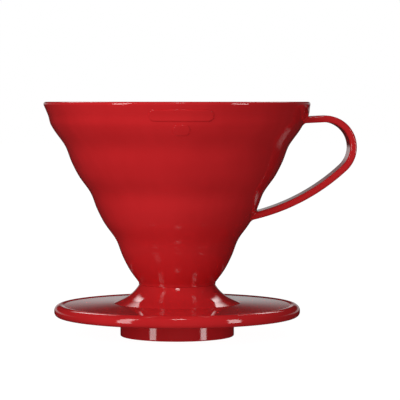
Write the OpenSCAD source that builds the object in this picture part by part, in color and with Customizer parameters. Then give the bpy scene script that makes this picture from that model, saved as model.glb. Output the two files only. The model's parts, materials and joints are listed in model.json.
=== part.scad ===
// Cone dripper for pour-over coffee, in two plastic mouldings.
//
// dripper_cone  conical bowl with a wavy outer wall, spiral ribs inside,
//               an open outlet at the tip and a strap handle
// base_stand    trumpet-shaped foot with a round drip plate and, below it,
//               the collar that drops into the mouth of a mug or server
//
// Frame: origin at the centre of the collar's bottom edge, +Z up, handle to +X.

/* [Cone] */
// Height of the rim above the collar's bottom edge
rim_z = 102.8; // [101:0.2:105]
// Mean outer radius of the wavy wall, 60 mm above the collar's bottom edge
wall_mid_r = 37.05; // [36.6:0.05:37.5]
// Angle between the mean outer wall and the axis, in degrees
wall_angle = 28.3; // [27.9:0.1:28.4]
// Height of one wave of the outer wall
wave_pitch = 20.6; // [19.6:0.1:21]
// Half the depth of a wave
wave_amp = 0.6; // [0:0.02:0.8]
// Angle between the inner wall and the axis, in degrees
bore_angle = 28.6; // [28.2:0.1:28.9]
// Outer radius of the rim's rounded lip
rim_r = 58.4; // [58.2:0.1:59]
// Radius of the lip's rounding
lip_r = 1.0; // [0.8:0.1:1.2]
// Radius of the outlet hole at the tip
outlet_r = 9.5; // [8.5:0.5:10]

/* [Ribs] */
// Number of long spiral ribs, with as many short ones between them
rib_count = 12; // [8:1:14]
// Width of a rib
rib_w = 1.6; // [1.2:0.1:2]
// Height of a rib near the rim
rib_top_h = 0.8; // [0.6:0.1:1]
// Height of a rib at the outlet
rib_tip_h = 2.2; // [1.6:0.1:2.4]
// Radius of the arc that a rib follows, seen from above
rib_arc_r = 40; // [36:1:60]

/* [Handle] */
// Width of the strap
strap_w = 15.5; // [12:0.5:18]
// Thickness of the strap
strap_t = 3; // [2.5:0.1:3.5]
// Height of the strap's centre line at the top of its bend
strap_z = 95.3; // [94.8:0.1:95.8]
// Climb of the strap from the wall to the bend, in degrees
strap_rise = 2.8; // [0:0.2:4]
// Distance from the axis to the centre of the bend
bend_x = 64.5; // [62:0.1:66]
// Centre-line radius of the bend at the top
bend_r = 12.4; // [11.5:0.1:13]
// Centre-line radius of the long lower run
sweep_r = 88; // [84:1:92]

/* [Base] */
// Radius of the drip plate
plate_r = 54; // [52:0.1:56]
// Height of the plate's rounded rim, top
plate_top_z = 13.95; // [13.8:0.05:14.2]
// Height of the plate's rounded rim, bottom
plate_low_z = 8.75; // [8.2:0.05:9]
// Height of the face that rests on the mug or server
seat_z = 11.6; // [11:0.1:11.8]
// Outer radius of the collar
collar_r = 25; // [24:0.1:26]
// Radius of the waist where the cone meets the base
neck_r = 16.85; // [16.6:0.05:17.2]
// Height of the seam at the waist
neck_z = 22.65; // [22.5:0.05:22.9]
// Radius of the cone's spigot, which plugs into the base
spigot_r = 15.2; // [15:0.1:15.3]
// Radial gap between the spigot and its socket
spigot_gap = 0.05; // [0.05:0.05:0.2]

/* [Blank badge] */
// Length of the blank raised badge on the front of the rim band
badge_w = 27; // [20:1:30]
// Height of the badge
badge_h = 4.8; // [3:0.2:5]
// How far the badge stands out from the wall
badge_out = 0.4; // [0.2:0.1:0.6]

/* [Hidden] */
$fn = 96;

red = [0.66, 0.12, 0.12];

// How far a cutting solid reaches past the face that it cuts
cut_over = 1;
round_steps = 6;

// Outer wall: waves up to a shallow crease, then a straight band to the lip
wave_phase_z = 67.8;
wave_skew = 0.095;
wave_skew_z = 65.91;
waves_top_z = rim_z - 9;
crease = [56.1, rim_z - 6.6];
lip = [rim_r - lip_r, rim_z - lip_r];
lip_low_angle = -20;
lip_start = lip + lip_r * [cos(lip_low_angle), sin(lip_low_angle)];
lip_steps = 10;
neck_edge = 0.8;
waves_low_z = neck_z + neck_edge;
wave_steps = 44;

// Inner wall: one plain cone from the lip to the outlet's short cylinder
bore_top_r = lip[0] - lip_r;
bore_slope = tan(bore_angle);
outlet_top_z = lip[1] - (bore_top_r - outlet_r) / bore_slope;
outlet_len = 2.4;
tip_z = outlet_top_z - outlet_len;
tip_wall = 2.1;

// Spigot and socket
spigot_len = 4.6;
spigot_lead = 0.6;
socket_r = spigot_r + spigot_gap;
socket_low_z = neck_z - 5.4;
socket_wall = 1.9;

// Ribs: their crests lie on a cone, from rib_top_z down to the outlet
rib_top_z = rim_z - 5;
rib_fade = 4;
rib_root = 0.7;
// Angle at the outer end of the arc that a rib does not fill
rib_arc_rest = 12;
long_rib_z = outlet_top_z + 0.4;
short_rib_z = 58;

// Handle: where the bend ends and the lower run begins
bend_angle = 137.4;
sweep_angle = 31;
strap_start_len = 10;
bend_steps = 24;
sweep_steps = 8;
bend_c = [bend_x, strap_z - bend_r];
run_dir = [cos(90 - bend_angle), sin(90 - bend_angle)];
sweep_c = bend_c + (bend_r - sweep_r) * run_dir;

// Foot: the flare is an arc, then a short straight skirt down to the plate
flare_arc_r = 15.5;
flare_steps = 14;
neck_slope = 60;
seam_step = 0.15;
flare_c = [neck_r - seam_step, neck_z] + flare_arc_r * [sin(neck_slope), cos(neck_slope)];
skirt_angle = 24;
flare_end = flare_c - flare_arc_r * [sin(skirt_angle), cos(skirt_angle)];
plate_fall = 0.85;
plate_bead = 0.3;
groove_z = plate_top_z - plate_bead;
skirt_z = groove_z + plate_fall;
skirt_r = flare_end[0] + (flare_end[1] - skirt_z) / tan(skirt_angle);
bead_w = 4.3;
bead_angle = 100;
plate_edge_r = 2.7;
plate_low_r = 2;
plate_wall = 2.2;
collar_wall = 2.2;
foot_r = 0.5;
foot_steps = 3;
// Stretch of the flare's inner face, as angles about the centre of the flare's arc
flare_inner = [248, 224];

// Blank badge
badge_root = 1.5;
badge_drop = 5.7;
badge_reach = rim_r + 2;

function arc(c, r, from, to, steps) =
    [for (i = [0 : steps]) let (a = from + (to - from) * i / steps) c + r * [cos(a), sin(a)]];

// Outer radius of the wavy wall at height z
function wave_r(z) =
    wall_mid_r + (z - 60) * tan(wall_angle)
    + wave_amp * sin(360 * (z - wave_phase_z) / wave_pitch)
    + wave_skew * sin(720 * (z - wave_skew_z) / wave_pitch);

// Radius of the inner wall at height z
function bore_r(z) = bore_top_r - (lip[1] - z) * bore_slope;

// Outer outline of the cone from the waist up to and over the lip, bottom to top
outer_outline = concat(
    [for (i = [0 : wave_steps])
        let (z = waves_low_z + (waves_top_z - waves_low_z) * i / wave_steps) [wave_r(z), z]],
    [crease],
    arc(lip, lip_r, lip_low_angle, 180, lip_steps)
);

module cone_shell() {
    rotate_extrude()
        polygon(concat(
            [
                [outlet_r, tip_z],
                [outlet_r + tip_wall, tip_z],
                [spigot_r - spigot_lead, neck_z - spigot_len - spigot_lead],
                [spigot_r, neck_z - spigot_len],
                [spigot_r, neck_z],
                [neck_r, neck_z]
            ],
            outer_outline,
            [[outlet_r, outlet_top_z]]
        ));
}

// Everything inside the inner wall
module bore() {
    rotate_extrude()
        polygon([
            [0, tip_z - cut_over],
            [outlet_r, tip_z - cut_over],
            [outlet_r, outlet_top_z],
            [bore_top_r, lip[1]],
            [bore_top_r, rim_z + cut_over],
            [0, rim_z + cut_over]
        ]);
}

// Band that the ribs are cut from: it starts inside the wall and ends at the rib crests
module rib_band(low_z) {
    low_h = rib_tip_h + (rib_top_h - rib_tip_h) * (low_z - tip_z) / (rib_top_z - tip_z);
    rotate_extrude()
        polygon([
            [bore_r(low_z) + rib_root, low_z],
            [bore_r(rib_top_z) + rib_root, rib_top_z],
            [bore_r(rib_top_z - rib_fade) - rib_top_h, rib_top_z - rib_fade],
            [bore_r(low_z) - low_h, low_z]
        ]);
}

// One upright curved wall from the axis out past the rim, as thick as a rib
module rib_wall() {
    sweep = 2 * asin(bore_top_r / rib_arc_r / 2);
    translate([rib_arc_r, 0, tip_z - cut_over])
        rotate([0, 0, 180 - sweep])
            rotate_extrude(angle = sweep - rib_arc_rest)
                translate([rib_arc_r - rib_w / 2, 0])
                    square([rib_w, rim_z]);
}

module ribs(low_z, turn) {
    intersection() {
        rib_band(low_z);
        for (i = [0 : rib_count - 1])
            rotate([0, 0, turn + i * 360 / rib_count]) rib_wall();
    }
}

// One side of the strap, `out` away from its centre line, from the wall round to the lower end
function strap_side(out) =
    let (
        bend = arc(bend_c, bend_r + out, 90 + strap_rise, 90 - bend_angle, bend_steps),
        sweep = arc(sweep_c, sweep_r + out, 90 - bend_angle, 90 - bend_angle - sweep_angle, sweep_steps)
    )
    concat(
        [bend[0] - strap_start_len * [cos(strap_rise), sin(strap_rise)]],
        bend,
        [for (i = [1 : sweep_steps]) sweep[i]]
    );

function reversed(list) = [for (i = [len(list) - 1 : -1 : 0]) list[i]];

// Strap handle: a straight start, a tight bend and a long, nearly straight run back to the wall
module handle() {
    rotate([90, 0, 0])
        linear_extrude(strap_w, center = true)
            polygon(concat(strap_side(strap_t / 2), reversed(strap_side(-strap_t / 2))));
}

// Blank raised badge: a rounded bar, cut from a thin skin over the outer wall
module badge() {
    intersection() {
        rotate_extrude()
            polygon([
                [crease[0] - badge_root, waves_top_z],
                [wave_r(waves_top_z) + badge_out, waves_top_z],
                [crease[0] + badge_out, crease[1]],
                [lip_start[0] + badge_out, lip_start[1]],
                [crease[0] - badge_root, lip_start[1]]
            ]);
        translate([0, 0, rim_z - badge_drop])
            rotate([90, 0, 0])
                union() {
                    translate([-(badge_w - badge_h) / 2, -badge_h / 2])
                        cube([badge_w - badge_h, badge_h, badge_reach]);
                    for (side = [-1, 1])
                        translate([side * (badge_w - badge_h) / 2, 0])
                            cylinder(r = badge_h / 2, h = badge_reach);
                }
    }
}

module dripper_cone() {
    color(red) {
        difference() {
            union() {
                cone_shell();
                handle();
                badge();
            }
            bore();
        }
        ribs(long_rib_z, 0);
        ribs(short_rib_z, 180 / rib_count);
    }
}

module base_stand() {
    color(red)
        rotate_extrude()
            polygon(concat(
                [[socket_r, neck_z]],
                arc(flare_c, flare_arc_r, 270 - neck_slope, 270 - skirt_angle, flare_steps),
                [
                    [skirt_r, skirt_z],
                    [plate_r - bead_w, groove_z]
                ],
                arc([plate_r - plate_edge_r, plate_top_z - plate_edge_r],
                    plate_edge_r, bead_angle, 0, round_steps),
                arc([plate_r - plate_low_r, plate_low_z + plate_low_r], plate_low_r, 0, -90, round_steps),
                [
                    [plate_r - plate_wall, plate_low_z],
                    [plate_r - plate_wall, seat_z],
                    [collar_r, seat_z]
                ],
                arc([collar_r - foot_r, foot_r], foot_r, 0, -90, foot_steps),
                [
                    [collar_r - collar_wall, 0],
                    [collar_r - collar_wall, groove_z]
                ],
                arc(flare_c, flare_arc_r + socket_wall, flare_inner[0], flare_inner[1], round_steps),
                [
                    [socket_r + socket_wall, socket_low_z],
                    [socket_r, socket_low_z]
                ]
            ));
}

dripper_cone();
base_stand();
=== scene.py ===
"""Looks of a cone dripper for pour-over coffee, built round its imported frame.

The object is two glossy plastic mouldings: the cone, with its strap handle, and the base.
Lengths are in metres and angles in radians. +Z is up, the handle points to +X, the front is -Y.
"""
import json
import math

import bmesh
import bpy
import numpy as np
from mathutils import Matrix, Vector


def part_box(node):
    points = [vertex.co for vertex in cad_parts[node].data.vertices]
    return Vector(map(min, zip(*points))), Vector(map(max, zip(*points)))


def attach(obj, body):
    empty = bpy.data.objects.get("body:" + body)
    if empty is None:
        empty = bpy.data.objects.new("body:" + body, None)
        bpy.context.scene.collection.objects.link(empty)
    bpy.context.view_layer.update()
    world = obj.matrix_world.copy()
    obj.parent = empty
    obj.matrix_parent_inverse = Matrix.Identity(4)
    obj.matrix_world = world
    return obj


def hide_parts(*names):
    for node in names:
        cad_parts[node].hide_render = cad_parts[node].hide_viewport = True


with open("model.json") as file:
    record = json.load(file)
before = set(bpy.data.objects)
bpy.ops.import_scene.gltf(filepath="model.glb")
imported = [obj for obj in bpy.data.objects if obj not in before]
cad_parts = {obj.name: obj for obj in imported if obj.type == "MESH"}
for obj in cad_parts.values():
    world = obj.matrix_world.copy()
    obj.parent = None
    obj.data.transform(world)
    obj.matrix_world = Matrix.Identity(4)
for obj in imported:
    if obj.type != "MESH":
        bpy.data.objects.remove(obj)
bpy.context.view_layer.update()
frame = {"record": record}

MM = 0.001
DEG = math.pi / 180

# ---------------------------------------------------------------- sizes taken from the frame

cone_low, cone_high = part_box("dripper_cone")
base_low, base_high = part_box("base_stand")
mounts = {m["name"]: m for m in frame["record"]["mounts"]}

RIM_Z = cone_high.z
RIM_R = -cone_low.x
TIP_Z = cone_low.z
NECK_Z = base_high.z
PLATE_R = -base_low.x
HANDLE_X = cone_high.x
COLLAR_R = mounts["collar"]["dims"]["r_mm"] * MM
SEAT_Z = mounts["server_seat"]["pos_m"][2]

# ---------------------------------------------------------------- the cone's outer wall

WALL_MID_Z = 60 * MM
WALL_MID_R = 37.05 * MM
WALL_SLOPE = math.tan(28.3 * DEG)
WAVE_PITCH = 20.6 * MM
WAVE_AMP = 0.6 * MM
WAVE_Z = 67.8 * MM
SKEW_AMP = 0.095 * MM
SKEW_Z = 65.91 * MM
WAVES_LOW_Z = NECK_Z + 0.9 * MM
WAVES_TOP_Z = RIM_Z - 10.2 * MM
BAND_LOW_Z = RIM_Z - 5.4 * MM
CREASE = (56.1 * MM, RIM_Z - 6.6 * MM)
LIP_R = 1.0 * MM
LIP = (RIM_R - LIP_R, RIM_Z - LIP_R)
LIP_LOW_ANGLE = -20 * DEG
NECK_R = 16.85 * MM
NECK_LIFT = 0.02 * MM
NECK_FILLET = 0.22 * MM

# ---------------------------------------------------------------- the cone's inside

BORE_SLOPE = math.tan(28.6 * DEG)
BORE_TOP_R = LIP[0] - LIP_R
OUTLET_R = 9.5 * MM
OUTLET_TOP_Z = LIP[1] - (BORE_TOP_R - OUTLET_R) / BORE_SLOPE
TIP_WALL = 2.1 * MM
TIP_FILLET = 0.25 * MM
SPIGOT_R = 15.2 * MM
SPIGOT_TOP_Z = NECK_Z - 4.6 * MM
SPIGOT_BEVEL = 0.6 * MM
SPIGOT_FILLET = 0.3 * MM
RIBS = 12
RIB_W = 1.6 * MM
RIB_TOP_H = 0.8 * MM
RIB_TIP_H = 2.2 * MM
RIB_ARC_R = 40 * MM
RIB_TOP_Z = RIM_Z - 5 * MM
RIB_FADE = 4 * MM
RIB_CREST_POWER = 9
SHORT_RIB_Z = 58 * MM

# ---------------------------------------------------------------- the strap handle

STRAP_W = 15.5 * MM
STRAP_T = 3.0 * MM
STRAP_EDGE = 1.1 * MM
BEND_R = 12.4 * MM
BEND_X = HANDLE_X - BEND_R - STRAP_T / 2
BEND_Z = 82.9 * MM
BEND_ANGLE = 137.4 * DEG
SWEEP_R = 88 * MM
SWEEP_ANGLE = 36 * DEG
STRAP_RISE = 2.8 * DEG
BEND_LEN = (BEND_ANGLE + STRAP_RISE) * BEND_R
SWEEP_LEN = SWEEP_ANGLE * SWEEP_R
ROOT_R = 1.3 * MM
ROOT_DEPTH = 0.5 * MM

# ---------------------------------------------------------------- the base

SOCKET_R = 15.25 * MM
SOCKET_LOW_Z = NECK_Z - 5.4 * MM
SOCKET_WALL = 1.9 * MM
FLARE_R = 15.5 * MM
FLARE_TURN = 30 * DEG
FLARE_INSET = 0.15 * MM
FLARE_C = (
    NECK_R - FLARE_INSET + FLARE_R * math.cos(FLARE_TURN),
    NECK_Z + FLARE_R * math.sin(FLARE_TURN),
)
SKIRT_ANGLE = 24 * DEG
SKIRT_FILLET = 0.8 * MM
PLATE_TOP_Z = 13.95 * MM
GROOVE_Z = PLATE_TOP_Z - 0.3 * MM
PLATE_FALL = 0.85 * MM
PLATE_LOW_Z = 8.75 * MM
PLATE_EDGE_R = 2.7 * MM
PLATE_LOW_R = 2 * MM
BEAD_W = 4.3 * MM
MOULD_WALL = 2.2 * MM
UNDER_TURNS = (248 * DEG, 224 * DEG)

# ---------------------------------------------------------------- raised patches on the wall

PATCH_DEPTH = 0.6 * MM
PATCH_EDGE = 0.3 * MM
HANDLE_AZ = 0.0
FRONT_AZ = -90 * DEG

PAD_LOW_Z = RIM_Z - 9.2 * MM
PAD_TOP_Z = RIM_Z - 1.4 * MM
PAD_LOW_W = 9 * MM
PAD_TOP_W = 19 * MM
PAD_FLARE = 2.6 * MM
PAD_FLARE_TOP_Z = PAD_LOW_Z + 4.6 * MM
PAD_RAISE = 1.1 * MM
PAD_FADE = (RIM_Z - 6.2 * MM, RIM_Z - 0.6 * MM)

BADGE_W = 27 * MM
BADGE_H = 4.8 * MM
BADGE_Z = RIM_Z - 5.7 * MM
BADGE_RAISE = 0.4 * MM
TAB_W = 7.4 * MM
TAB_H = 4.6 * MM
TAB_Z = RIM_Z - 11.8 * MM
TAB_RAISE = 0.3 * MM

# ---------------------------------------------------------------- fineness of the meshes

WELD_GAP = 0.002 * MM
WALL_ROWS = 110
BASE_COLUMNS = 320
PATCH_POINTS = 240
PAD_POINTS = 320
PATCH_SPINE_SHARES = (0.2, 0.4, 0.6, 0.8, 1)
HIT_STEPS = 40
BEND_ROWS = 46
SWEEP_ROWS = 26
ROOT_ROWS = 9

# ---------------------------------------------------------------- outlines and grids


def smoothstep(low, high, x):
    t = np.clip((np.asarray(x, float) - low) / (high - low), 0, 1)
    return t * t * (3 - 2 * t)


def arc(centre, radius, start, end, steps):
    """Points on an arc of the (r, z) plane, its ends included."""
    turns = np.linspace(start, end, steps + 1)
    return np.stack([centre[0] + radius * np.cos(turns), centre[1] + radius * np.sin(turns)], -1)


def filleted(corners, steps=5, closed=False):
    """An outline of (r, z, corner radius) corners with each corner rounded to its radius."""
    corners = [np.array(c, float) for c in corners]
    out = []
    for i, corner in enumerate(corners):
        here, radius = corner[:2], corner[2]
        ends = not closed and i in (0, len(corners) - 1)
        if ends or radius == 0:
            out.append(here[None])
            continue
        back = corners[i - 1][:2] - here
        ahead = corners[(i + 1) % len(corners)][:2] - here
        room = 0.49 * min(np.linalg.norm(back), np.linalg.norm(ahead))
        back, ahead = back / np.linalg.norm(back), ahead / np.linalg.norm(ahead)
        half = math.acos(np.clip(back @ ahead, -1, 1)) / 2
        radius = min(radius, room * math.tan(half))
        middle = back + ahead
        centre = here + middle / np.linalg.norm(middle) * radius / math.sin(half)
        first = here + back * radius / math.tan(half) - centre
        last = here + ahead * radius / math.tan(half) - centre
        start = math.atan2(first[1], first[0])
        turn = math.atan2(first[0] * last[1] - first[1] * last[0], first @ last)
        out.append(arc(centre, radius, start, start + turn, steps))
    return np.concatenate(out)


def grid_object(name, points, close_rows=True, cap_first=False, cap_last=False):
    """A smooth object made of a grid of points, shape (rows, columns, 3), with closed columns."""
    rows, columns = points.shape[:2]
    index = np.arange(rows * columns).reshape(rows, columns)
    if close_rows:
        index = np.concatenate([index, index[:1]], 0)
    index = np.concatenate([index, index[:, :1]], 1)
    a, b, c, d = index[:-1, :-1], index[:-1, 1:], index[1:, 1:], index[1:, :-1]
    faces = np.stack([a, b, c, d], -1).reshape(-1, 4).tolist()
    if cap_first:
        faces.append(list(range(columns))[::-1])
    if cap_last:
        faces.append(list(range((rows - 1) * columns, rows * columns)))
    mesh = bpy.data.meshes.new(name)
    mesh.from_pydata(points.reshape(-1, 3).tolist(), [], faces)
    mesh.validate()
    mesh.shade_smooth()
    obj = bpy.data.objects.new(name, mesh)
    bpy.context.scene.collection.objects.link(obj)
    weighted = obj.modifiers.new("weighted_normals", "WEIGHTED_NORMAL")
    weighted.keep_sharp = True
    return obj


def weld(obj):
    """Merge points that coincide, as where the two halves of a patch meet."""
    mesh = bmesh.new()
    mesh.from_mesh(obj.data)
    bmesh.ops.remove_doubles(mesh, verts=mesh.verts, dist=WELD_GAP)
    bmesh.ops.dissolve_degenerate(mesh, edges=mesh.edges, dist=WELD_GAP)
    mesh.to_mesh(obj.data)
    mesh.free()


def spin(outline, columns):
    """Rings of points from an outline of (r, z) points turned round the axis."""
    turns = np.linspace(0, 2 * math.pi, columns, endpoint=False)
    r, z = outline[:, :1], outline[:, 1:]
    return np.stack([r * np.cos(turns), r * np.sin(turns), z + 0 * turns], -1)


# ---------------------------------------------------------------- the cone


def wave_r(z):
    """Outer radius of the wavy wall at height z."""
    wave = WAVE_AMP * np.sin(2 * math.pi * (z - WAVE_Z) / WAVE_PITCH)
    skew = SKEW_AMP * np.sin(4 * math.pi * (z - SKEW_Z) / WAVE_PITCH)
    return WALL_MID_R + (z - WALL_MID_Z) * WALL_SLOPE + wave + skew


def band_top():
    """Where the straight band below the lip meets the lip's rounding."""
    return arc(LIP, LIP_R, LIP_LOW_ANGLE, 0, 1)[0]


def wall_r(z):
    """Outer radius of the whole wall at height z: waves, a soft crease, then the straight band."""
    top_r, top_z = band_top()
    band_slope = (top_r - CREASE[0]) / (top_z - CREASE[1])
    step = 0.1 * MM
    wave_slope = (wave_r(WAVES_TOP_Z) - wave_r(WAVES_TOP_Z - step)) / step
    span = BAND_LOW_Z - WAVES_TOP_Z
    band = CREASE[0] + (np.asarray(z, float) - CREASE[1]) * band_slope
    band_low_r = CREASE[0] + (BAND_LOW_Z - CREASE[1]) * band_slope
    t = np.clip((np.asarray(z, float) - WAVES_TOP_Z) / span, 0, 1)
    blend = (1 + 2 * t) * (1 - t) ** 2 * wave_r(WAVES_TOP_Z)
    blend = blend + t * (1 - t) ** 2 * span * wave_slope
    blend = blend + t * t * (3 - 2 * t) * band_low_r + t * t * (t - 1) * span * band_slope
    return np.where(z < WAVES_TOP_Z, wave_r(z), np.where(z > BAND_LOW_Z, band, blend))


def bore_r(z):
    """Radius of the plain inner wall at height z."""
    return BORE_TOP_R - (LIP[1] - z) * BORE_SLOPE


def outer_outline():
    """From the tip's inner edge round the spigot, up the wall and over the lip."""
    foot = filleted([
        (OUTLET_R, TIP_Z + 0.5 * MM, 0),
        (OUTLET_R, TIP_Z, TIP_FILLET),
        (OUTLET_R + TIP_WALL, TIP_Z, 2 * TIP_FILLET),
        (SPIGOT_R - SPIGOT_BEVEL, SPIGOT_TOP_Z - SPIGOT_BEVEL, SPIGOT_FILLET),
        (SPIGOT_R, SPIGOT_TOP_Z, SPIGOT_FILLET),
        (SPIGOT_R, NECK_Z, 0),
        (NECK_R, NECK_Z + NECK_LIFT, NECK_FILLET),
        (wave_r(WAVES_LOW_Z), WAVES_LOW_Z, 0),
    ])
    heights = np.linspace(WAVES_LOW_Z + 0.6 * MM, band_top()[1], WALL_ROWS)
    wall = np.stack([wall_r(heights), heights], -1)
    return np.concatenate([foot, wall, arc(LIP, LIP_R, -16 * DEG, math.pi, 14)])


def bore_outline():
    """From the lip down the inner wall to the outlet, with more rows where ribs start or end."""
    heights = np.concatenate([
        np.linspace(LIP[1] - 0.8 * MM, RIB_TOP_Z, 3),
        np.linspace(RIB_TOP_Z - 0.5 * MM, RIB_TOP_Z - RIB_FADE - 1 * MM, 9),
        np.linspace(RIB_TOP_Z - RIB_FADE - 2.5 * MM, SHORT_RIB_Z + 5 * MM, 20),
        np.linspace(SHORT_RIB_Z + 4.2 * MM, SHORT_RIB_Z - 0.5 * MM, 8),
        np.linspace(SHORT_RIB_Z - 2 * MM, OUTLET_TOP_Z + 3 * MM, 26),
        np.linspace(OUTLET_TOP_Z + 2.5 * MM, OUTLET_TOP_Z + 0.5 * MM, 5),
    ])
    wall = np.stack([bore_r(heights), heights], -1)
    land = filleted([
        (bore_r(OUTLET_TOP_Z + 0.4 * MM), OUTLET_TOP_Z + 0.4 * MM, 0),
        (OUTLET_R, OUTLET_TOP_Z, 0.5 * MM),
        (OUTLET_R, TIP_Z + 0.9 * MM, 0),
    ])
    return np.concatenate([wall, land])


def rib_columns(r):
    """Turns of the cone's columns at each radius, their rib heights, 0 to 1, and which are short.

    Columns lie across a rib, in half widths from its middle, and in the gap, in shares of it.
    """
    half_u = np.array([0.4, 0.72, 0.9, 1.05, 1.2, 1.4])
    rib_u = np.concatenate([-half_u[::-1], [0], half_u])
    gap_u = np.array([0.25, 0.5, 0.75])
    pitch = math.pi / RIBS
    slant = np.arcsin(np.clip(r / (2 * RIB_ARC_R), -1, 1))
    half = (RIB_W / 2 / r / np.cos(slant))[:, None]
    edge = rib_u[-1] * half
    one = np.concatenate([rib_u * half, edge + gap_u * (pitch - 2 * edge)], 1)
    start = np.arange(2 * RIBS) * pitch + math.pi / 2
    turns = start[None, :, None] + one[:, None, :] - slant[:, None, None]
    crest = 1 / (1 + np.abs(rib_u / 0.98) ** RIB_CREST_POWER)
    crest[[0, -1]] = 0
    profile = np.tile(np.concatenate([crest, 0 * gap_u]), 2 * RIBS)
    short = np.repeat(np.arange(2 * RIBS) % 2 == 1, len(rib_u) + len(gap_u))
    return turns.reshape(len(r), -1), profile, short


def make_cone():
    """Wall, lip, ribs, outlet and spigot as one closed skin."""
    outer, inner = outer_outline(), bore_outline()
    r = np.concatenate([outer[:, 0], inner[:, 0]])
    z = np.concatenate([outer[:, 1], inner[:, 1]])
    inside = np.arange(len(r)) >= len(outer)
    lip_row = len(outer) - 1
    grid_r = r.copy()
    grid_r[:lip_row] = r[lip_row]
    blend = smoothstep(TIP_Z, RIM_Z, z[:lip_row])
    grid_r[:lip_row] = OUTLET_R + (r[lip_row] - OUTLET_R) * blend
    turns, profile, short = rib_columns(grid_r)
    height = np.interp(z, [TIP_Z, RIB_TOP_Z], [RIB_TIP_H, RIB_TOP_H])
    ends = smoothstep(OUTLET_TOP_Z + 0.3 * MM, OUTLET_TOP_Z + 2 * MM, z)
    ends = ends * np.sqrt(1 - smoothstep(RIB_TOP_Z - RIB_FADE, RIB_TOP_Z, z))
    late = np.sqrt(smoothstep(SHORT_RIB_Z, SHORT_RIB_Z + 3 * MM, z))
    long_h = (inside * height * ends)[:, None]
    short_h = long_h * late[:, None]
    radius = r[:, None] - profile * np.where(short, short_h, long_h)
    points = np.stack([radius * np.cos(turns), radius * np.sin(turns), z[:, None] + 0 * turns], -1)
    return grid_object("cone_shell", points)


# ---------------------------------------------------------------- the handle


def strap_line(s):
    """Centre line of the strap at arc length s from the start of the bend: x, z and heading."""
    s = np.asarray(s, float)
    first = np.minimum(s, 0)
    bend = np.clip(s, 0, BEND_LEN) / BEND_R
    rest = np.maximum(s - BEND_LEN, 0) / SWEEP_R
    start = math.pi / 2 + STRAP_RISE
    turn = start - bend
    x = BEND_X + BEND_R * np.cos(turn) + first * math.cos(STRAP_RISE)
    z = BEND_Z + BEND_R * np.sin(turn) + first * math.sin(STRAP_RISE)
    end = start - BEND_LEN / BEND_R
    x = x + SWEEP_R * (np.cos(end - rest) - math.cos(end))
    z = z + SWEEP_R * (np.sin(end - rest) - math.sin(end))
    return x, z, turn - rest - math.pi / 2


def strap_point(s, y, n):
    """Point of the strap at arc length s, y across its width and n out from its centre line."""
    x, z, heading = strap_line(s)
    return np.stack([x - n * np.sin(heading), y + 0 * x, z + n * np.cos(heading)], -1)


def wall_hit(y, n, inside, outside):
    """Arc length at which each line of the strap meets the wall, between two guesses."""
    low, high = np.full(y.shape, inside), np.full(y.shape, outside)
    for _ in range(HIT_STEPS):
        middle = (low + high) / 2
        p = strap_point(middle, y, n)
        out = np.hypot(p[..., 0], p[..., 1]) > wall_r(p[..., 2])
        low, high = np.where(out, low, middle), np.where(out, middle, high)
    return (low + high) / 2


def strap_section():
    """Cross-section of the strap: places across and out, and the outward direction at each."""
    half_w, half_t = STRAP_W / 2, STRAP_T / 2
    corners = [(1, -1), (1, 1), (-1, 1), (-1, -1)]
    places, outward = [], []
    for i, (side_y, side_n) in enumerate(corners):
        start = -math.pi / 2 + i * math.pi / 2
        turns = np.linspace(start, start + math.pi / 2, 8)
        direction = np.stack([np.cos(turns), np.sin(turns)], -1)
        centre = np.array([side_y * (half_w - STRAP_EDGE), side_n * (half_t - STRAP_EDGE)])
        places.append(centre + STRAP_EDGE * direction)
        outward.append(direction)
        if side_y == side_n:
            across = np.linspace(side_y, -side_y, 7)[1:-1, None]
            flat = np.concatenate([across * (half_w - STRAP_EDGE), 0 * across + side_n * half_t], 1)
            places.append(flat)
            outward.append(np.tile([0.0, side_n], (5, 1)))
    return np.concatenate(places), np.concatenate(outward)


def root_rows(section, outward, inside, outside, away):
    """Rows of the fillet where the strap runs into the wall, from inside the wall outwards."""
    rows = []
    for turn in np.linspace(0, math.pi / 2, ROOT_ROWS):
        flare = ROOT_R * (1 - math.sin(turn))
        step = ROOT_R * (1 - math.cos(turn))
        y, n = (section + flare * outward).T
        rows.append((wall_hit(y, n, inside, outside) + away * step, y, n))
    s, y, n = rows[0]
    rows.insert(0, (s - away * ROOT_DEPTH, y, n))
    return rows


def make_handle():
    """Strap handle, with a fillet where each end runs into the wall."""
    section, outward = strap_section()
    y0, n0 = section.T
    upper = root_rows(section, outward, -10 * MM, -5 * MM, 1)
    lower = root_rows(section, outward, BEND_LEN + SWEEP_LEN, BEND_LEN + 0.4 * SWEEP_LEN, -1)
    first = upper[-1][0]
    last = lower[-1][0]
    start, end = -4.5 * MM, last.min() - 2 * MM
    quarters = (0.25, 0.5, 0.75)
    straight = [[start], np.linspace(-3 * MM, 0, 3)]
    straight += [np.linspace(0, BEND_LEN, BEND_ROWS)[1:]]
    straight += [np.linspace(BEND_LEN, end, SWEEP_ROWS)[1:]]
    middle = [first + (start - first) * t for t in quarters]
    middle += [s + 0 * first for s in np.concatenate(straight)]
    middle += [end + (last - end) * t for t in quarters]
    rows = upper + [(s, y0, n0) for s in middle] + lower[::-1]
    points = np.stack([strap_point(s, y, n) for s, y, n in rows])
    return grid_object("handle_strap", points, close_rows=False, cap_first=True, cap_last=True)


# ---------------------------------------------------------------- raised patches


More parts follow.
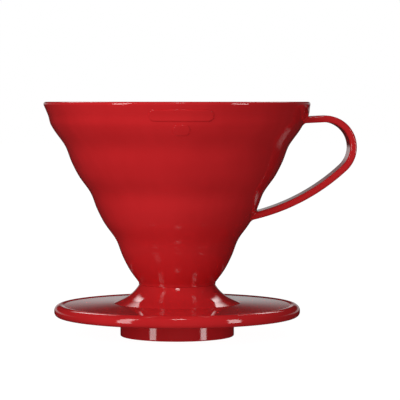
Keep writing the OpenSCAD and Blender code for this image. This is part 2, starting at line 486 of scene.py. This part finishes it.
def even_loop(outline, count):
    """The closed outline again, as evenly spaced points, with the inward direction at each."""
    closed = np.concatenate([outline, outline[:1]])
    along = np.concatenate([[0], np.cumsum(np.linalg.norm(np.diff(closed, axis=0), axis=1))])
    places = np.linspace(0, along[-1], count, endpoint=False)
    loop = np.stack([np.interp(places, along, closed[:, i]) for i in (0, 1)], -1)
    tangent = np.roll(loop, -1, 0) - np.roll(loop, 1, 0)
    tangent /= np.linalg.norm(tangent, axis=1, keepdims=True)
    return loop, np.stack([-tangent[:, 1], tangent[:, 0]], -1)


def on_wall(places, raised, azimuth):
    """Points of the outer wall at (distance across, height) places, raised off it.

    The rise is square to the wall, and the wall's lean is taken to be that of the bore.
    """
    across, z = places[:, 0], places[:, 1]
    radius = wall_r(z)
    turns = azimuth + across / radius
    lean = math.sqrt(1 + BORE_SLOPE ** 2)
    radius = radius + raised * lean
    return np.stack([radius * np.cos(turns), radius * np.sin(turns), z], -1)


def raised_patch(name, outline, raised, azimuth, count=PATCH_POINTS, fade=None):
    """Raised patch with a rounded edge, rooted in the wall. It thins out over the fade heights."""
    loop, inward = even_loop(outline, count)

    def lift(places, height):
        thin = 1 - smoothstep(fade[0], fade[1], places[:, 1]) if fade else 1
        return on_wall(places, height * thin, azimuth)

    rings = [on_wall(loop, -PATCH_DEPTH, azimuth), on_wall(loop, 0, azimuth)]
    for turn in np.linspace(0, math.pi / 2, 6):
        inset = PATCH_EDGE * (1 - math.cos(turn))
        height = raised - PATCH_EDGE * (1 - math.sin(turn))
        rings.append(lift(loop + inset * inward, height))
    low, high = loop.min(0), loop.max(0)
    middle = (low + high) / 2
    reach = (high - low)[0] / 2 - (high - low)[1] / 2
    spine = np.stack([np.clip(loop[:, 0], -reach, reach), middle[1] + 0 * loop[:, 1]], -1)
    start = loop + PATCH_EDGE * inward
    for share in PATCH_SPINE_SHARES:
        rings.append(lift(start + (spine - start) * share, raised))
    patch = grid_object(name, np.stack(rings), close_rows=False, cap_first=True)
    weld(patch)
    return patch


def bar_outline(width, height, middle_z):
    """A bar with round ends, as (distance across, height) points."""
    end, r = (width - height) / 2, height / 2
    right = arc((end, middle_z), r, -90 * DEG, 90 * DEG, 24)
    left = arc((-end, middle_z), r, 90 * DEG, 270 * DEG, 24)
    return np.concatenate([right, left])


def make_badge():
    """Blank badge on the front of the rim band."""
    outline = bar_outline(BADGE_W, BADGE_H, BADGE_Z)
    return raised_patch("blank_badge", outline, BADGE_RAISE, FRONT_AZ)


def make_tab():
    """Small blank tab below the badge."""
    return raised_patch("blank_tab", bar_outline(TAB_W, TAB_H, TAB_Z), TAB_RAISE, FRONT_AZ)


def make_pad():
    """Saddle behind the handle's upper root: narrow at the strap, flaring out below the lip."""
    half = [
        (PAD_LOW_W, PAD_LOW_Z, 1 * MM),
        (PAD_LOW_W, PAD_LOW_Z + PAD_FLARE, 3 * MM),
        (PAD_LOW_W + PAD_FLARE, PAD_FLARE_TOP_Z, 4 * MM),
        (PAD_TOP_W, PAD_TOP_Z, 0.5 * MM),
    ]
    mirrored = [(-across, z, r) for across, z, r in half[::-1]]
    outline = filleted(half + mirrored, closed=True)
    return raised_patch("handle_saddle", outline, PAD_RAISE, HANDLE_AZ, PAD_POINTS, PAD_FADE)


# ---------------------------------------------------------------- the base


def plain(points):
    """(r, z) points as corners that stay as they are."""
    return [(r, z, 0) for r, z in points]


def plate_rim():
    """The plate's thick rounded edge, from its top to its lower face."""
    top_centre = (PLATE_R - PLATE_EDGE_R, PLATE_TOP_Z - PLATE_EDGE_R)
    low_centre = (PLATE_R - PLATE_LOW_R, PLATE_LOW_Z + PLATE_LOW_R)
    return np.concatenate([
        arc(top_centre, PLATE_EDGE_R, 100 * DEG, 0, 14),
        arc(low_centre, PLATE_LOW_R, 0, -90 * DEG, 10),
    ])


def base_corners():
    """Corners of the base's outline: down the flare, round the plate and collar, and back up."""
    flare = arc(FLARE_C, FLARE_R, 180 * DEG + FLARE_TURN, 270 * DEG - SKIRT_ANGLE, 22)
    skirt_z = GROOVE_Z + PLATE_FALL
    skirt_r = flare[-1][0] + (flare[-1][1] - skirt_z) / math.tan(SKIRT_ANGLE)
    inner = COLLAR_R - MOULD_WALL
    under = arc(FLARE_C, FLARE_R + SOCKET_WALL, *UNDER_TURNS, 10)
    mouth = [(SOCKET_R, NECK_Z, 0.1 * MM), (flare[0][0], NECK_Z - NECK_LIFT, 0.18 * MM)]
    top = [(skirt_r, skirt_z, SKIRT_FILLET), (PLATE_R - BEAD_W, GROOVE_Z, SKIRT_FILLET)]
    below = [
        (PLATE_R - MOULD_WALL, PLATE_LOW_Z, 0),
        (PLATE_R - MOULD_WALL, SEAT_Z, 0.5 * MM),
        (COLLAR_R, SEAT_Z, 0.4 * MM),
        (COLLAR_R, 0, 0.5 * MM),
        (inner, 0, 0.5 * MM),
        (inner, GROOVE_Z, 0.6 * MM),
    ]
    socket = [
        (SOCKET_R + SOCKET_WALL, SOCKET_LOW_Z, 0.4 * MM),
        (SOCKET_R, SOCKET_LOW_Z, 0.3 * MM),
    ]
    return mouth + plain(flare[1:]) + top + plain(plate_rim()) + below + plain(under) + socket


def make_base():
    """Foot, drip plate and collar as one closed skin."""
    outline = filleted(base_corners(), steps=6, closed=True)
    return grid_object("base_shell", spin(outline, BASE_COLUMNS))


# ---------------------------------------------------------------- shader helpers


def feed(tree, socket, value):
    """Connect a node's output to a socket, or set the socket to a plain value."""
    if isinstance(value, bpy.types.NodeSocket):
        tree.links.new(value, socket)
    else:
        socket.default_value = value


def calc(tree, operation, *values):
    """Output of a Math node."""
    node = tree.nodes.new("ShaderNodeMath")
    node.operation = operation
    for socket, value in zip(node.inputs, values):
        feed(tree, socket, value)
    return node.outputs[0]


def ramp(tree, value, low, high, start=0.0, end=1.0):
    """Smooth step from start to end as the value goes from low to high."""
    node = tree.nodes.new("ShaderNodeMapRange")
    node.interpolation_type = "SMOOTHSTEP"
    for key, number in (("Value", value), ("From Min", low), ("From Max", high),
                        ("To Min", start), ("To Max", end)):
        feed(tree, node.inputs[key], number)
    return node.outputs[0]


def window(tree, value, low, high, soft):
    """1 between low and high, falling smoothly to 0 outside them."""
    rise = ramp(tree, value, low - soft, low + soft)
    fall = ramp(tree, value, high - soft, high + soft, 1.0, 0.0)
    return calc(tree, "MULTIPLY", rise, fall)


def noise(tree, vector, scale, detail=3.0, roughness=0.5):
    """Value of a noise texture, 0 to 1."""
    node = tree.nodes.new("ShaderNodeTexNoise")
    feed(tree, node.inputs["Vector"], vector)
    feed(tree, node.inputs["Scale"], scale)
    feed(tree, node.inputs["Detail"], detail)
    feed(tree, node.inputs["Roughness"], roughness)
    return node.outputs["Fac"]


def bump(tree, height, distance, normal=None):
    """Normal bent by a height field; distance is the field's full height in metres."""
    node = tree.nodes.new("ShaderNodeBump")
    feed(tree, node.inputs["Height"], height)
    feed(tree, node.inputs["Distance"], distance)
    if normal is not None:
        feed(tree, node.inputs["Normal"], normal)
    return node.outputs["Normal"]


def mix_colour(tree, share, first, second):
    node = tree.nodes.new("ShaderNodeMix")
    node.data_type = "RGBA"
    feed(tree, node.inputs["Factor"], share)
    feed(tree, node.inputs["A"], first)
    feed(tree, node.inputs["B"], second)
    return node.outputs["Result"]


# ---------------------------------------------------------------- materials

RED = (0.70, 0.0225, 0.0265, 1)
RED_DEEP = (0.64, 0.0195, 0.0230, 1)
RED_WORN = (0.74, 0.0450, 0.0470, 1)
PLASTIC_IOR = 1.49

# Noise scales, in features to the metre
CLOUD_SCALE = 35.0
PEEL_SCALE = 750.0
HAIRLINE_SCALE = 160.0

# Streaks: noise over the direction from the axis, in features to the radian, that changes slowly
# with height, here in radians to the metre
STREAK_SCALE = 9.0
STREAK_CHANGE = 5.0

# Roughness of clean plastic, and what clouding, hairlines and wear add to it
ROUGH = 0.045
ROUGH_CLOUD = 0.05
ROUGH_HAIRLINE = 0.05
ROUGH_WORN = 0.15

# Heights of the surface's relief
STREAK_BUMP = 0.0006 * MM
HAIRLINE_BUMP = -0.0004 * MM
PEEL_BUMP = 0.0012 * MM

# Wear on edges: how sharp an edge has to be, as the cosine of the turn within the reach
WEAR_REACH = 0.35 * MM
WEAR_FULL_COS = 0.80
WEAR_NONE_COS = 0.99


def flow_streaks(tree, position):
    """Faint streaks that run from the gate at the axis outwards, as the melt filled the mould."""
    parts = tree.nodes.new("ShaderNodeSeparateXYZ")
    feed(tree, parts.inputs[0], position)
    x, y, z = parts.outputs
    squares = calc(tree, "ADD", calc(tree, "MULTIPLY", x, x), calc(tree, "MULTIPLY", y, y))
    radius = calc(tree, "ADD", calc(tree, "SQRT", squares), 1 * MM)
    joined = tree.nodes.new("ShaderNodeCombineXYZ")
    feed(tree, joined.inputs[0], calc(tree, "DIVIDE", x, radius))
    feed(tree, joined.inputs[1], calc(tree, "DIVIDE", y, radius))
    feed(tree, joined.inputs[2], calc(tree, "MULTIPLY", z, STREAK_CHANGE))
    return noise(tree, joined.outputs[0], STREAK_SCALE, 4.0)


def edge_mask(tree, reach):
    """1 where the surface turns sharply within the reach, 0 on open faces."""
    bevel = tree.nodes.new("ShaderNodeBevel")
    bevel.samples = 4
    bevel.inputs["Radius"].default_value = reach
    geometry = tree.nodes.new("ShaderNodeNewGeometry")
    turn = tree.nodes.new("ShaderNodeVectorMath")
    turn.operation = "DOT_PRODUCT"
    feed(tree, turn.inputs[0], bevel.outputs["Normal"])
    feed(tree, turn.inputs[1], geometry.outputs["Normal"])
    return ramp(tree, turn.outputs["Value"], WEAR_FULL_COS, WEAR_NONE_COS, 1.0, 0.0)


def scuffs(tree, position, stretch):
    """Fine hairline marks, stretched in one direction."""
    mapping = tree.nodes.new("ShaderNodeMapping")
    mapping.inputs["Scale"].default_value = stretch
    feed(tree, mapping.inputs["Vector"], position)
    marks = noise(tree, mapping.outputs[0], HAIRLINE_SCALE, 6.0, 0.65)
    return ramp(tree, marks, 0.60, 0.78)


def plastic(name, stretch, wear):
    """Glossy red polypropylene with flow streaks, orange peel, hairlines and soft edge wear."""
    mat = bpy.data.materials.new(name)
    mat.use_nodes = True
    tree = mat.node_tree
    shader = tree.nodes["Principled BSDF"]
    position = tree.nodes.new("ShaderNodeTexCoord").outputs["Object"]
    streaks = flow_streaks(tree, position)
    hairlines = scuffs(tree, position, stretch)
    edges = edge_mask(tree, WEAR_REACH)
    cloud = noise(tree, position, CLOUD_SCALE, 3.0)
    peel = noise(tree, position, PEEL_SCALE, 2.0)

    shade = calc(tree, "MULTIPLY", streaks, 0.2)
    shade = calc(tree, "ADD", shade, calc(tree, "MULTIPLY", cloud, 0.8))
    colour = mix_colour(tree, ramp(tree, shade, 0.35, 0.65), RED_DEEP, RED)
    worn = calc(tree, "MULTIPLY", edges, calc(tree, "MULTIPLY", cloud, wear))
    feed(tree, shader.inputs["Base Color"], mix_colour(tree, worn, colour, RED_WORN))

    rough = ROUGH
    for mask, added in ((cloud, ROUGH_CLOUD), (hairlines, ROUGH_HAIRLINE), (worn, ROUGH_WORN)):
        rough = calc(tree, "ADD", rough, calc(tree, "MULTIPLY", mask, added))
    feed(tree, shader.inputs["Roughness"], rough)
    feed(tree, shader.inputs["IOR"], PLASTIC_IOR)

    skin = bump(tree, streaks, STREAK_BUMP)
    skin = bump(tree, hairlines, HAIRLINE_BUMP, skin)
    feed(tree, shader.inputs["Normal"], bump(tree, peel, PEEL_BUMP, skin))
    return mat


# ---------------------------------------------------------------- stage

FLOOR_HALF = 4
FLOOR_GLOW = 0.985
FLOOR_MATT = (0.16, 0.16, 0.16, 1)


def floor_material():
    """Pale floor, lit from itself for the camera, with only a trace of the object's shadow."""
    mat = bpy.data.materials.new("floor_white")
    mat.use_nodes = True
    tree = mat.node_tree
    tree.nodes.clear()
    glow = tree.nodes.new("ShaderNodeEmission")
    glow.inputs["Strength"].default_value = FLOOR_GLOW
    matt = tree.nodes.new("ShaderNodeBsdfDiffuse")
    matt.inputs["Color"].default_value = FLOOR_MATT
    both = tree.nodes.new("ShaderNodeAddShader")
    clear = tree.nodes.new("ShaderNodeBsdfTransparent")
    side = tree.nodes.new("ShaderNodeMixShader")
    feed(tree, both.inputs[0], glow.outputs[0])
    feed(tree, both.inputs[1], matt.outputs[0])
    feed(tree, side.inputs[0], tree.nodes.new("ShaderNodeNewGeometry").outputs["Backfacing"])
    feed(tree, side.inputs[1], both.outputs[0])
    feed(tree, side.inputs[2], clear.outputs[0])
    feed(tree, tree.nodes.new("ShaderNodeOutputMaterial").inputs["Surface"], side.outputs[0])
    return mat


def make_floor():
    """Large floor that faces up and is seen through from below. Nothing mirrors it."""
    size = FLOOR_HALF
    mesh = bpy.data.meshes.new("floor")
    corners = [(-size, -size, 0), (size, -size, 0), (size, size, 0), (-size, size, 0)]
    mesh.from_pydata(corners, [], [(0, 1, 2, 3)])
    mesh.materials.append(floor_material())
    floor = bpy.data.objects.new("floor", mesh)
    bpy.context.scene.collection.objects.link(floor)
    floor.visible_glossy = False
    floor.visible_diffuse = False


# Soft light that shades the plastic: (azimuth from the front, elevation, strength) of each lobe
SOFT_LOBES = ((-14, -42, 0.52), (-10, 46, 0.47), (178, 15, 0.04))
SOFT_FILL = 0.02

# Softbox near the object, so that its light falls off from the rim down to the base
KEY_AZ = -31
KEY_EL = 24
KEY_DISTANCE = 0.33
KEY_SIZE = 0.22
KEY_WATTS = 0.38
KEY_AIM_Z = 85 * MM

# Lights that the gloss mirrors: azimuth range, elevation range, edge softness and strength.
# Azimuth is 0 at the front and grows to the right.
GLOSS_LIGHTS = (
    (-58.5, -45, -12, 46, 1.5, 6.8),
    (46.5, 59, -12, 25, 1.5, 7.5),
    (-9, 9, 56, 66, 2.0, 12.0),
    (147, 165, 33, 47, 6.0, 4.5),
    (-165, -147, 33, 47, 6.0, 4.5),
)
STUDIO_DARK = 0.012

# Pale backdrop: strength, the elevations where it fades in and out, and how far round it starts
BACKDROP = 0.5
BACKDROP_LOW = (-3, 0)
BACKDROP_HIGH = (3, 9)
BACKDROP_SIDE = (95, 150)


def towards(azimuth, elevation):
    """Direction at an azimuth from the front and an elevation, both in degrees."""
    turn, rise = azimuth * DEG, elevation * DEG
    flat = math.cos(rise)
    return Vector((flat * math.sin(turn), -flat * math.cos(turn), math.sin(rise)))


def lobe(tree, direction, azimuth, elevation, strength):
    """Light that falls off as the cosine of the angle from one direction."""
    node = tree.nodes.new("ShaderNodeVectorMath")
    node.operation = "DOT_PRODUCT"
    feed(tree, node.inputs[0], direction)
    node.inputs[1].default_value = towards(azimuth, elevation)
    return calc(tree, "MULTIPLY", calc(tree, "MAXIMUM", node.outputs["Value"], 0.0), strength)


def soft_light(tree, direction):
    """Strength of the soft light from a direction."""
    total = SOFT_FILL
    for azimuth, elevation, strength in SOFT_LOBES:
        total = calc(tree, "ADD", total, lobe(tree, direction, azimuth, elevation, strength))
    return total


def mirrored_light(tree, azimuth, elevation):
    """A dark studio with a few lights and a pale backdrop low behind the object."""
    total = STUDIO_DARK
    for west, east, low, high, soft, strength in GLOSS_LIGHTS:
        across = window(tree, azimuth, west * DEG, east * DEG, soft * DEG)
        upright = window(tree, elevation, low * DEG, high * DEG, soft * DEG)
        patch = calc(tree, "MULTIPLY", calc(tree, "MULTIPLY", across, upright), strength)
        total = calc(tree, "ADD", total, patch)
    low = ramp(tree, elevation, BACKDROP_LOW[0] * DEG, BACKDROP_LOW[1] * DEG)
    high = ramp(tree, elevation, BACKDROP_HIGH[0] * DEG, BACKDROP_HIGH[1] * DEG, 1.0, 0.0)
    side = calc(tree, "ABSOLUTE", azimuth)
    behind = ramp(tree, side, BACKDROP_SIDE[0] * DEG, BACKDROP_SIDE[1] * DEG)
    band = calc(tree, "MULTIPLY", calc(tree, "MULTIPLY", low, high), behind)
    return calc(tree, "ADD", total, calc(tree, "MULTIPLY", band, BACKDROP))


def make_world():
    """White to the camera, soft front light for shading, and the dark studio for reflections."""
    world = bpy.data.worlds.new("studio")
    world.use_nodes = True
    world.cycles.sampling_method = "NONE"
    tree = world.node_tree
    direction = tree.nodes.new("ShaderNodeTexCoord").outputs["Generated"]
    parts = tree.nodes.new("ShaderNodeSeparateXYZ")
    feed(tree, parts.inputs[0], direction)
    x, y, z = parts.outputs
    azimuth = calc(tree, "ARCTAN2", x, calc(tree, "MULTIPLY", y, -1.0))
    elevation = calc(tree, "ARCSINE", z)
    seen = tree.nodes.new("ShaderNodeLightPath").outputs
    shine = mirrored_light(tree, azimuth, elevation)
    shine = calc(tree, "MULTIPLY", shine, seen["Is Glossy Ray"])
    matt = calc(tree, "MULTIPLY", soft_light(tree, direction), seen["Is Diffuse Ray"])
    total = calc(tree, "ADD", calc(tree, "ADD", shine, matt), seen["Is Camera Ray"])
    feed(tree, tree.nodes["Background"].inputs["Strength"], total)
    tree.nodes["Background"].inputs["Color"].default_value = (1, 1, 1, 1)
    bpy.context.scene.world = world
    bpy.context.scene.view_settings.view_transform = "Standard"


def make_key_light():
    """Softbox that shades the plastic and is not mirrored in it."""
    data = bpy.data.lights.new("key_light", "AREA")
    data.size = KEY_SIZE
    data.energy = KEY_WATTS
    key = bpy.data.objects.new("key_light", data)
    bpy.context.scene.collection.objects.link(key)
    away = towards(KEY_AZ, KEY_EL)
    key.location = Vector((0, 0, KEY_AIM_Z)) + KEY_DISTANCE * away
    key.rotation_euler = away.to_track_quat("Z", "Y").to_euler()
    key.visible_glossy = False
    key.visible_camera = False


# Camera: its turn round the axis, its distance, its sensor in mm, and its lens and aim in pixels
VIEW_TURN = -1.8 * DEG
VIEW_DISTANCE = 0.89
SENSOR_WIDTH = 36.0
FOCAL_PIXELS = 2029.0
IMAGE_PIXELS = 400
AXIS_OFFSET = 22.9
HORIZON_OFFSET = 98.3


def make_camera():
    """Camera at the height of the rim, aimed a little down and to the right of the axis."""
    data = bpy.data.cameras.new("camera")
    data.sensor_width = SENSOR_WIDTH
    data.lens = FOCAL_PIXELS * data.sensor_width / IMAGE_PIXELS
    cam = bpy.data.objects.new("camera", data)
    bpy.context.scene.collection.objects.link(cam)
    across, back = VIEW_DISTANCE * math.sin(VIEW_TURN), VIEW_DISTANCE * math.cos(VIEW_TURN)
    cam.location = (across, -back, RIM_Z)
    yaw = VIEW_TURN - math.atan(AXIS_OFFSET / FOCAL_PIXELS)
    pitch = -math.atan(HORIZON_OFFSET / FOCAL_PIXELS)
    cam.rotation_euler = (math.pi / 2 + pitch, 0, yaw)
    bpy.context.scene.camera = cam


# ---------------------------------------------------------------- assembly

cone_finish = plastic("red_plastic_cone", (1.0, 1.0, 0.15), 0.35)
base_finish = plastic("red_plastic_base", (0.3, 1.0, 1.0), 0.55)
cone = make_cone()
base = make_base()
cone_parts = [cone, make_handle(), make_pad(), make_badge(), make_tab()]
for piece in cone_parts + [base]:
    on_base = piece is base
    piece.data.materials.append(base_finish if on_base else cone_finish)
    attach(piece, "root")
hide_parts("dripper_cone")
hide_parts("base_stand")

make_floor()
make_world()
make_key_light()
make_camera()
